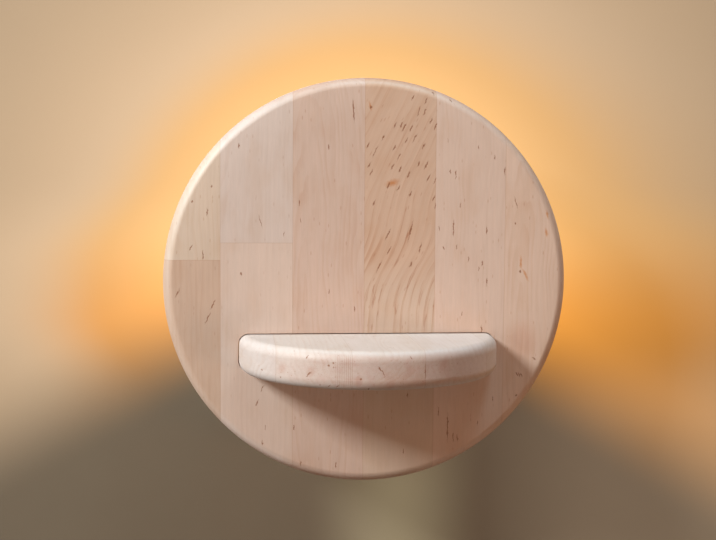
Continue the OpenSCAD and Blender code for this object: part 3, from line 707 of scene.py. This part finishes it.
def lead_finish(name, colour, stripe=None):
    """Silicone insulation; a stripe colour covers a third of the way round."""
    lead = Finish(name)
    point = lead.place_mm()
    speckle = lead.noise(point, (3.0, 3.0, 3.0), 2.0)
    tone = 1.0 + (speckle - 0.5) * 0.18
    shade = lead.tint(colour, tone)
    if stripe:
        around = lead.split(lead.node("ShaderNodeUVMap", {"uv_map": "UVMap"}))[0]
        band = (around - 0.5).size().step(0.175, 0.165)
        shade = lead.mix(band, shade, lead.tint(stripe, tone))
    return lead.done(
        Base_Color=shade, Roughness=0.42 + (speckle - 0.5) * 0.2, Normal=lead.bump(speckle, 0.02)
    )


def cover_finish(name, colour, glow, strength):
    """Milky cover of the lit lamp, brightest where the rows of light chips stand behind it."""
    cover = Finish(name, Emission_Strength=strength, IOR=1.49)
    point = cover.place_mm()
    haze = cover.noise(point, (0.8, 0.8, 0.8), 3.0)
    up = cover.split(point)[2]
    rows = ((up * (2 * math.pi / CHIP_ROW_MM)).sine() * 0.5 + 0.5) * 0.22
    return cover.done(
        Base_Color=cover.tint(colour, 1.0 + (haze - 0.5) * 0.06),
        Emission_Color=cover.tint(glow, 0.78 + rows + (haze - 0.5) * 0.08),
        Roughness=0.36 + (haze - 0.5) * 0.12,
    )


# Routes of the three leads, each with its slot, its colour and the colour of its stripe.
LEADS = (
    ("live_lead",
     ((-14, -9.5, 3), (-14, -9.5, -2), (-14, -9.5, -8), (-12.5, -11, -15.5), (-7.5, -14, -22),
      (-4.7, -18.5, -24.7), (-4.7, -23, -24.7), (-4.7, -29, -24.7)),
     "lead_brown", (0.20, 0.085, 0.040), None),
    ("neutral_lead",
     ((-25, -9.5, 3), (-25, -9.5, -2), (-25, -10, -9), (-20, -12, -15.5), (-11, -15, -19),
      (-1, -16, -19), (3.8, -16, -22.5), (4.7, -19, -24.7), (4.7, -23.5, -24.7),
      (4.7, -29, -24.7)),
     "lead_blue", (0.035, 0.12, 0.36), None),
    ("earth_lead",
     ((-36, -9.5, 3), (-36, -9.5, -2), (-36, -9.5, -8), (-39, -8.5, -14), (-44, -6.5, -14),
      (-47, -5, -10), (-47, -4.6, -7), (-47, -4.6, -4)),
     "lead_green_yellow", (0.62, 0.52, 0.03), (0.04, 0.26, 0.05)),
)
LEAD_RADIUS = 1.0 * MM
LEAD_ASIDE = (0.5, 0.8, 0.3)
CHIP_ROW_MM = 4.7


# ---- Settings ----


def colour_property(name, place, default):
    return FloatVectorProperty(
        name=name, description="Colour of " + place, subtype="COLOR", default=default,
        min=0.0, max=1.0,
    )


def amount_property(name, description, default, unit="NONE"):
    return FloatProperty(name=name, description=description, default=default, min=0.0, unit=unit)


class DiscSettings(bpy.types.PropertyGroup):
    """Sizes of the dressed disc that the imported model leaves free."""

    front_round: amount_property("Front round", "Radius of the front edge", 6 * MM, "LENGTH")
    rear_round: amount_property("Rear round", "Radius of the rear edge", 3 * MM, "LENGTH")
    slot_gap: amount_property("Slot gap", "Gap around the shelf board", 0.4 * MM, "LENGTH")
    slot_ease: amount_property("Slot edge", "Radius of the slot's edge", 0.35 * MM, "LENGTH")
    around: IntProperty(
        name="Points around", description="Points of the disc's mesh around its rim",
        default=720, min=64,
    )


class LampSettings(bpy.types.PropertyGroup):
    """Colours of the lit lamp and strength of its light."""

    glow: colour_property("Glow", "the lit cover", (1.0, 0.77, 0.48))
    strength: amount_property("Strength", "Brightness of the lit cover", 0.8)


class StageSettings(bpy.types.PropertyGroup):
    """The wall and floor behind the lamp, its lights and the camera."""

    wall: colour_property("Wall", "the wall", (0.145, 0.104, 0.066))
    halo: colour_property("Halo", "the lamp's light on the wall near it", (1.0, 0.53, 0.17))
    low_halo: colour_property("Low halo", "the lamp's light at the shelf", (1.0, 0.38, 0.04))
    far_halo: colour_property("Far halo", "the lamp's light further away", (1.0, 0.67, 0.40))
    pool: colour_property("Pool", "the faint light under the lamp", (0.17, 0.145, 0.087))
    spill: colour_property("Spill", "the faint light at the lower right", (0.105, 0.078, 0.052))
    floor: colour_property("Floor", "the floor", (0.52, 0.51, 0.49))
    backdrop: colour_property("Backdrop", "the room beyond the wall", (0.80, 0.79, 0.77))
    lens: amount_property("Lens", "Focal length of the camera", 57.76, "CAMERA")
    key: amount_property("Key light", "Power of the light from the upper left", 89.0, "POWER")
    left: amount_property("Left light", "Power of the low light from the left", 15.0, "POWER")
    top: amount_property("Top light", "Power of the light from above", 42.0, "POWER")
    right: amount_property("Right light", "Power of the faint light at right", 12.0, "POWER")
    rear: amount_property("Rear light", "Power of the light behind the wall", 55.0, "POWER")
    fill: amount_property("Fill", "Strength of the even light from all sides", 0.30)


# ---- Operators ----


def slot_outline(direction, half_width, half_height, corner):
    """Distance from the middle of a rounded rectangle to its edge along each direction.

    direction holds unit vectors (x, z). The straight sides answer first: the edge is where the
    ray leaves the top, the bottom or an end. Where that point lies beyond a straight part, it is
    where the ray meets the corner's circle, a root of |t d - c| = corner.
    """
    d = np.abs(direction)
    to_top = half_height / np.maximum(d[:, 1], 1e-9)
    to_end = half_width / np.maximum(d[:, 0], 1e-9)
    reach = np.minimum(to_top, to_end)
    hit = d * reach[:, None]
    centre = np.array([half_width - corner, half_height - corner])
    in_corner = (hit[:, 0] > centre[0]) & (hit[:, 1] > centre[1])
    along = d @ centre
    bow = along + np.sqrt(np.maximum(along**2 - centre @ centre + corner**2, 0))
    return np.where(in_corner, bow, reach)


class WALL_LAMP_OT_disc(bpy.types.Operator):
    """Makes the round wooden disc with its slot and gives it its glued-up wood"""

    bl_idname = "wall_lamp.disc"
    bl_label = "Wooden disc"

    def execute(self, context):
        sizes = context.scene.wall_lamp_disc
        piece = grid_piece("wooden_disc", self.rings(sizes), close_rows=True, close_columns=True)
        wood = Wood("wood of the disc", "z", "y", DISC_LOW.y / MM)
        wood.cut_boards(DISC_BOARDS, DISC_STAVE_MM, DISC_FIRST_JOINT_MM, DISC_BUTTS_MM)
        wood.grow()
        dress(piece, wood.paint(DISC_MARKS, DISC_STAINS, DISC_PAINTED_SHADOW, DISC_SKIN_MM))
        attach(piece, "wooden_body")
        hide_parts("round_disc")
        return {"FINISHED"}

    @staticmethod
    def rings(sizes):
        """The disc's skin as rings that run round its slot and its rim.

        Every ring has one point on each ray from the middle of the slot. A ring is the slot's
        outline grown by some offset, a circle of some radius, or a point on the straight line
        between the two, at some depth. The rings go out over the front, round the rim, in over
        the rear and back through the slot. The edges are quarter circles, but the front one is
        a little flatter, nearer to a bevel: its sine and cosine are raised to the power flat.
        """
        front, rear = DISC_LOW.y, DISC_HIGH.y
        big, small, ease = sizes.front_round, sizes.rear_round, sizes.slot_ease
        angle = np.linspace(0, -2 * np.pi, sizes.around, endpoint=False)
        rim = np.stack([np.cos(angle), np.sin(angle)], -1)
        middle = np.array([0.0, SHELF_MID_Z])
        ray = rim * DISC_RADIUS - middle
        ray /= np.linalg.norm(ray, axis=1, keepdims=True)

        def slot(grow, y):
            half_width = SHELF_HALF_WIDTH + sizes.slot_gap + grow
            half_height = SHELF_THICK / 2 + sizes.slot_gap + grow
            corner = SHELF_CORNER + sizes.slot_gap + grow
            reach = slot_outline(ray, half_width, half_height, corner)
            edge = middle + ray * reach[:, None]
            return np.insert(edge, 1, y, axis=1)

        def circle(radius, y):
            along = ray @ middle
            reach = -along + np.sqrt(along**2 - middle @ middle + radius**2)
            return np.insert(middle + ray * reach[:, None], 1, y, axis=1)

        def between(inner, outer, count):
            shares = np.linspace(0, 1, count + 2)[1:-1]
            return [inner + (outer - inner) * share for share in shares]

        def quarter(count):
            turn = np.linspace(0, np.pi / 2, count + 1)
            return zip(np.sin(turn), np.cos(turn))

        rings = [slot(0, (front + rear) / 2)]
        rings += [slot(ease * (1 - c), front + ease * (1 - s)) for s, c in quarter(4)]
        flat = 1.2
        face = [circle(DISC_RADIUS - big * (1 - s**flat), front + big * (1 - c**flat))
                for s, c in quarter(12)]
        rings += between(rings[-1], face[0], 6) + face
        back = [circle(DISC_RADIUS - small * (1 - c), rear - small * (1 - s))
                for s, c in quarter(8)]
        inside = [slot(ease * (1 - s), rear - ease * (1 - c)) for s, c in quarter(4)]
        rings += between(face[-1], back[0], 1) + back
        rings += between(back[-1], inside[0], 6) + inside
        return np.array(rings)


class WALL_LAMP_OT_shelf(bpy.types.Operator):
    """Gives the shelf board its glued-up wood, with the grain running out from the wall"""

    bl_idname = "wall_lamp.shelf"
    bl_label = "Shelf board"

    def execute(self, context):
        wood = Wood("wood of the shelf", "y", "z", SHELF_HIGH.z / MM)
        wood.cut_boards(SHELF_BOARDS, SHELF_STAVE_MM, SHELF_FIRST_JOINT_MM)
        wood.grow()
        material = wood.paint(SHELF_MARKS, {}, SHELF_CLOUDS, SHELF_SKIN_MM, SHELF_RAYS_MM)
        dress(NODES["shelf_board"], material)
        return {"FINISHED"}


class WALL_LAMP_OT_steelwork(bpy.types.Operator):
    """Finishes the wall plate, the rods and the sheet brackets"""

    bl_idname = "wall_lamp.steelwork"
    bl_label = "Steelwork"

    def execute(self, context):
        powder = coat_finish("white powder coat", (0.80, 0.79, 0.77), 0.46, 0.5, 0.05, 0.06)
        drawn = metal_finish("drawn bar", (0.56, 0.57, 0.58), 0.30, (2.0, 0.04, 2.0), 0.02)
        zinc = metal_finish("zinc plated sheet", (0.66, 0.67, 0.68), 0.34, spangle=0.16)
        brackets = ("left_corner_bracket", "right_corner_bracket", "holder_bracket")
        dress_nodes(powder, "wall_plate")
        dress_nodes(drawn, "left_support_rod", "right_support_rod")
        dress_nodes(zinc, *brackets)
        ease_edges(0.22, "wall_plate", *brackets)
        return {"FINISHED"}


class WALL_LAMP_OT_fasteners(bpy.types.Operator):
    """Finishes the screws, the inserts, the rubber pads and the grommet"""

    bl_idname = "wall_lamp.fasteners"
    bl_label = "Screws and pads"

    def execute(self, context):
        plated = metal_finish("zinc plated screw", (0.63, 0.64, 0.66), 0.26, spangle=0.04)
        yellow = metal_finish("yellow plated screw", (0.78, 0.60, 0.31), 0.30, spangle=0.05)
        brass = metal_finish("turned brass", (0.80, 0.61, 0.29), 0.27, (1.0, 1.0, 2.5), 0.04)
        black = metal_finish("black oxide", (0.075, 0.075, 0.08), 0.42, spangle=0.05)
        pads = coat_finish("soft black rubber", (0.045, 0.045, 0.045), 0.78, 0.3, 0.06, 0.35)
        moulded = coat_finish("moulded black rubber", (0.04, 0.04, 0.04), 0.6, 0.4, 0.03, 0.3)
        dress_nodes(plated, "terminal_screws", "clamp_screws", "block_screws",
                    "holder_bracket_screws", "holder_screws")
        dress_nodes(yellow, "bracket_wood_screws")
        dress_nodes(brass, "threaded_inserts", "earth_screw")
        dress_nodes(black, "locking_screws")
        dress_nodes(pads, "wall_pads")
        dress_nodes(moulded, "cable_grommet")
        return {"FINISHED"}


class WALL_LAMP_OT_electrics(bpy.types.Operator):
    """Finishes the terminals and the lampholder, and makes the three leads"""

    bl_idname = "wall_lamp.electrics"
    bl_label = "Electrics"

    def execute(self, context):
        nylon = coat_finish("white nylon", (0.82, 0.81, 0.77), 0.40, 0.35, 0.02, 0.05)
        ceramic = coat_finish("unglazed ceramic", (0.84, 0.81, 0.75), 0.58, 0.25, 0.05, 0.10)
        brass = metal_finish("pressed brass", (0.80, 0.62, 0.31), 0.30, spangle=0.06)
        dress_nodes(nylon, "terminal_block", "cable_clamp")
        dress_nodes(ceramic, "lampholder")
        dress_nodes(brass, "terminal_sleeves", "earth_lug", "holder_contacts")
        for node, route, slot, colour, stripe in LEADS:
            path = smoothed(np.array(route) * MM, steps=10)
            piece = tube(node + "_dressed", path, LEAD_RADIUS, LEAD_ASIDE)
            dress(piece, lead_finish(slot.replace("_", " "), colour, stripe))
            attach(piece, "wall_bracket")
            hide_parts(node)
        return {"FINISHED"}


class WALL_LAMP_OT_lamp(bpy.types.Operator):
    """Finishes the plug-in lamp, whose cover glows"""

    bl_idname = "wall_lamp.lamp"
    bl_label = "Plug-in lamp"

    def execute(self, context):
        lamp = context.scene.wall_lamp_lamp
        plastic = coat_finish("gloss white plastic", (0.86, 0.86, 0.84), 0.28, 0.5, 0.012, 0.04)
        pins = metal_finish("nickel pins", (0.70, 0.69, 0.66), 0.22, (1.0, 1.0, 0.2), 0.03)
        board = coat_finish("white solder mask", (0.84, 0.84, 0.81), 0.35, 0.6, 0.01, 0.05)
        chips = coat_finish("yellow phosphor", (0.90, 0.66, 0.16), 0.45, 0.3, 0.02, 0.12)
        cover = cover_finish("milky cover", (0.80, 0.72, 0.60), lamp.glow, lamp.strength)
        dress_nodes(plastic, "bulb_base")
        dress_nodes(pins, "bulb_pins")
        dress_nodes(board, "led_board")
        dress_nodes(chips, "led_chips")
        dress_nodes(cover, "bulb_cover")
        return {"FINISHED"}


# The stage. Every light stands LIGHT_REACH from LIT_POINT and faces it. The table gives how far
# each is turned to the right from straight in front of the lamp and how far it is raised, both
# in degrees, then its size and its colour.
STAGE_HALF = 3.0
FLOOR_Z = -0.62
WALL_Y = 0.4 * MM
LIT_POINT = Vector((0.0, -0.08, -0.02))
LIGHT_REACH = 2.6
LIGHTS = {
    "key": (-57, 31, 0.55, (0.87, 0.985, 1.0)),
    "left": (-80, 8, 0.60, (0.82, 0.94, 0.94)),
    "top": (45, 74, 0.75, (0.50, 0.86, 1.0)),
    "right": (42, -11, 0.60, (1.0, 0.62, 0.36)),
    "rear": (180, 12, 1.20, (1.0, 0.98, 0.95)),
}
FILL_COLOUR = (1.0, 0.40, 0.10)

# The lamp's light on the wall: its foot point, spread and level and how that falls, the belt
# where it is higher, the two lines that cut it off, the heights between which its colour
# changes, the levels between which it takes the far colour, which are tilted across and up the
# wall, and the faint pool and spill under the cut. The pairs go from a share of 0 to one of 1.
FOOT_UP_MM, SPREAD_MM, LEVEL, FALL = 14.0, 60.0, 2.45, -0.625
BELT_UP_MM, BELT_HALF_MM, BELT_GAIN = -8.0, (75.0, 15.0), 0.5
CUT_SLOPE, CUT_TILT, CUT_MM = 0.575, 0.045, (-44.0, 48.0)
LOW_HALO_MM = (-45.0, 45.0)
FAR_LEVELS, FAR_ACROSS, FAR_UP = (0.66, 0.36), 0.0006, 0.001
POOL_ASIDE_MM, POOL_HALF_MM, POOL_UP_MM = 30.0, (66.0, 0.0), (-50.0, -160.0)
SPILL_ASIDE_MM, SPILL_UP_MM = (20.0, 190.0), (-45.0, -110.0)
CAMERA_PLACE = Vector((-0.0801, -0.7816, 0.0590))
CAMERA_AIM = Vector((-0.0063, -0.0820, 0.0075))
CAMERA_ROLL = 0.41


class WALL_LAMP_OT_stage(bpy.types.Operator):
    """Sets up the wall, the floor, the lights and the camera"""

    bl_idname = "wall_lamp.stage"
    bl_label = "Stage"

    def execute(self, context):
        scene, stage = context.scene, context.scene.wall_lamp_stage
        self.wall(stage)
        self.floor(stage)
        self.lights(scene, stage)
        self.room(scene, stage)
        self.camera(scene, stage)
        scene.view_settings.view_transform = "Standard"
        return {"FINISHED"}

    @staticmethod
    def seen(finish):
        """1 for what the eye sees, straight or mirrored, and 0 for the light between surfaces."""
        straight = finish.node("ShaderNodeLightPath", output="Is Camera Ray")
        mirrored = finish.node("ShaderNodeLightPath", output="Is Glossy Ray")
        return straight.most(mirrored)

    @staticmethod
    def clear_where(finish, share):
        """Lets the eye and the light through a stage surface where share is 1."""
        solid = Field(finish, finish.shader.outputs[0])
        clear = finish.node("ShaderNodeBsdfTransparent")
        mixed = finish.node("ShaderNodeMixShader", None, {0: share, 1: solid, 2: clear})
        finish.feed(finish.tree.nodes["Material Output"].inputs["Surface"], mixed)

    def wall(self, stage):
        """The wall, with the lamp's light on it. Only the eye sees it, so it blocks no light.

        The light's level falls as (1 + (r / spread)^2)^fall, where r is the distance from the
        lamp's foot point on the wall, and is a fifth higher in a belt at the shelf's height. It
        is cut off softly along the two lines that run from there past the ends of the shelf
        board. Under them lie a faint pool and a faint spill.
        """
        half, low, y = STAGE_HALF, FLOOR_Z, WALL_Y
        corners = [[[half, y, low], [half, y, half]], [[-half, y, low], [-half, y, half]]]
        piece = grid_piece("stage_wall", np.array(corners))
        paint = Finish("wall paint", Roughness=0.85, Emission_Strength=1.0)
        point = paint.place_mm()
        x, _, z = paint.split(point)
        up = z - FOOT_UP_MM
        reach = ((x * x + up * up).root() / SPREAD_MM) ** 2.0
        belt = (z - BELT_UP_MM).size().step(*BELT_HALF_MM)
        level = (1.0 + reach) ** FALL * (belt * BELT_GAIN + LEVEL)
        cut = (up + x.size() * CUT_SLOPE + x * CUT_TILT).step(*CUT_MM)
        light = paint.mix(z.step(*LOW_HALO_MM), stage.low_halo, stage.halo)
        far = (level + x * FAR_ACROSS - z * FAR_UP).step(*FAR_LEVELS)
        light = paint.mix(far, light, stage.far_halo)
        light = paint.tint(light, cut * level)
        pool = (x - POOL_ASIDE_MM).size().step(*POOL_HALF_MM) * z.step(*POOL_UP_MM)
        spill = x.step(*SPILL_ASIDE_MM) * z.step(*SPILL_UP_MM)
        light = paint.vector("ADD", light, paint.tint(stage.pool, pool))
        light = paint.vector("ADD", light, paint.tint(stage.spill, spill))
        mottle = paint.noise(point, (0.02, 0.02, 0.02), 3.0)
        grain = paint.noise(point, (1.2, 1.2, 1.2), 2.0)
        paint.done(
            Base_Color=paint.tint(stage.wall, 0.94 + mottle * 0.12),
            Emission_Color=light,
            Normal=paint.bump(grain, 0.05),
        )
        behind = paint.node("ShaderNodeNewGeometry", output="Backfacing")
        self.clear_where(paint, behind.most(1.0 - self.seen(paint)))
        dress(piece, paint.material)

    def floor(self, stage):
        """The floor, pale to the eye but dark to the light that it would throw up at the lamp."""
        half, low, rear = STAGE_HALF, FLOOR_Z, 0.01
        corners = [[[-half, -half, low], [half, -half, low]],
                   [[-half, rear, low], [half, rear, low]]]
        piece = grid_piece("stage_floor", np.array(corners))
        paint = Finish("floor paint", Roughness=0.8)
        mottle = paint.noise(paint.place_mm(), (0.01, 0.01, 0.01), 3.0)
        tone = (0.97 + mottle * 0.06) * (self.seen(paint) * 0.9 + 0.1)
        paint.done(Base_Color=paint.tint(stage.floor, tone))
        self.clear_where(paint, paint.node("ShaderNodeNewGeometry", output="Backfacing"))
        dress(piece, paint.material)

    @staticmethod
    def lights(scene, stage):
        """The soft lights of the table, at the powers of the settings."""
        for key, (turn, rise, size, colour) in LIGHTS.items():
            lamp = bpy.data.lights.new(key + " light", "AREA")
            lamp.size, lamp.energy, lamp.color = size, getattr(stage, key), colour
            lamp_object = bpy.data.objects.new(key + " light", lamp)
            turn, rise = math.radians(turn), math.radians(rise)
            away = Vector((math.sin(turn) * math.cos(rise), -math.cos(turn) * math.cos(rise),
                           math.sin(rise)))
            facing = (-away).to_track_quat("-Z", "Y").to_matrix().to_4x4()
            lamp_object.matrix_world = Matrix.Translation(LIT_POINT + away * LIGHT_REACH) @ facing
            scene.collection.objects.link(lamp_object)

    @staticmethod
    def room(scene, stage):
        """An even warm light from all sides, where the eye and mirrors see a pale room."""
        scene.world = bpy.data.worlds.new("even light")
        scene.world.use_nodes = True
        sky = Nodes(scene.world.node_tree)
        even = sky.tree.nodes["Background"]
        sky.feed(even.inputs["Color"], FILL_COLOUR)
        sky.feed(even.inputs["Strength"], stage.fill)
        shown = Field(sky, even.outputs[0])
        pale = sky.node("ShaderNodeBackground", None, {"Color": stage.backdrop})
        for kind in ("Is Camera Ray", "Is Glossy Ray"):
            ray = sky.node("ShaderNodeLightPath", output=kind)
            shown = sky.node("ShaderNodeMixShader", None, {0: ray, 1: shown, 2: pale})
        sky.feed(sky.tree.nodes["World Output"].inputs["Surface"], shown)

    @staticmethod
    def camera(scene, stage):
        """The camera at the photo's angle, fitted to the outlines of the disc and the shelf."""
        lens = bpy.data.cameras.new("camera")
        lens.lens, lens.sensor_width = stage.lens, 36.0
        lens.dof.use_dof = False
        camera = bpy.data.objects.new("camera", lens)
        turn = (CAMERA_AIM - CAMERA_PLACE).to_track_quat("-Z", "Y").to_matrix().to_4x4()
        roll = Matrix.Rotation(math.radians(CAMERA_ROLL), 4, "Z")
        camera.matrix_world = Matrix.Translation(CAMERA_PLACE) @ turn @ roll
        scene.collection.objects.link(camera)
        scene.camera = camera


class WALL_LAMP_PT_pieces(bpy.types.Panel):
    """Lists the pieces of the lamp and their settings"""

    bl_idname = "WALL_LAMP_PT_pieces"
    bl_label = "Wall lamp"
    bl_space_type = "VIEW_3D"
    bl_region_type = "UI"
    bl_category = "Wall lamp"

    def draw(self, context):
        for name, kind in SETTINGS.items():
            box = self.layout.box()
            for key in kind.__annotations__:
                box.prop(getattr(context.scene, name), key)
        for operator in OPERATORS:
            self.layout.operator(operator.bl_idname)


SETTINGS = {
    "wall_lamp_disc": DiscSettings,
    "wall_lamp_lamp": LampSettings,
    "wall_lamp_stage": StageSettings,
}
OPERATORS = (
    WALL_LAMP_OT_stage,
    WALL_LAMP_OT_disc,
    WALL_LAMP_OT_shelf,
    WALL_LAMP_OT_steelwork,
    WALL_LAMP_OT_fasteners,
    WALL_LAMP_OT_electrics,
    WALL_LAMP_OT_lamp,
)


def register():
    for key, group in SETTINGS.items():
        bpy.utils.register_class(group)
        setattr(bpy.types.Scene, key, PointerProperty(type=group))
    for kind in (*OPERATORS, WALL_LAMP_PT_pieces):
        bpy.utils.register_class(kind)


def unregister():
    for kind in (WALL_LAMP_PT_pieces, *OPERATORS):
        bpy.utils.unregister_class(kind)
    for key, group in SETTINGS.items():
        delattr(bpy.types.Scene, key)
        bpy.utils.unregister_class(group)


def main():
    """Registers the add-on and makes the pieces."""
    register()
    for operator in OPERATORS:
        family, action = operator.bl_idname.split(".")
        getattr(getattr(bpy.ops, family), action)()


if __name__ == "__main__":
    main()
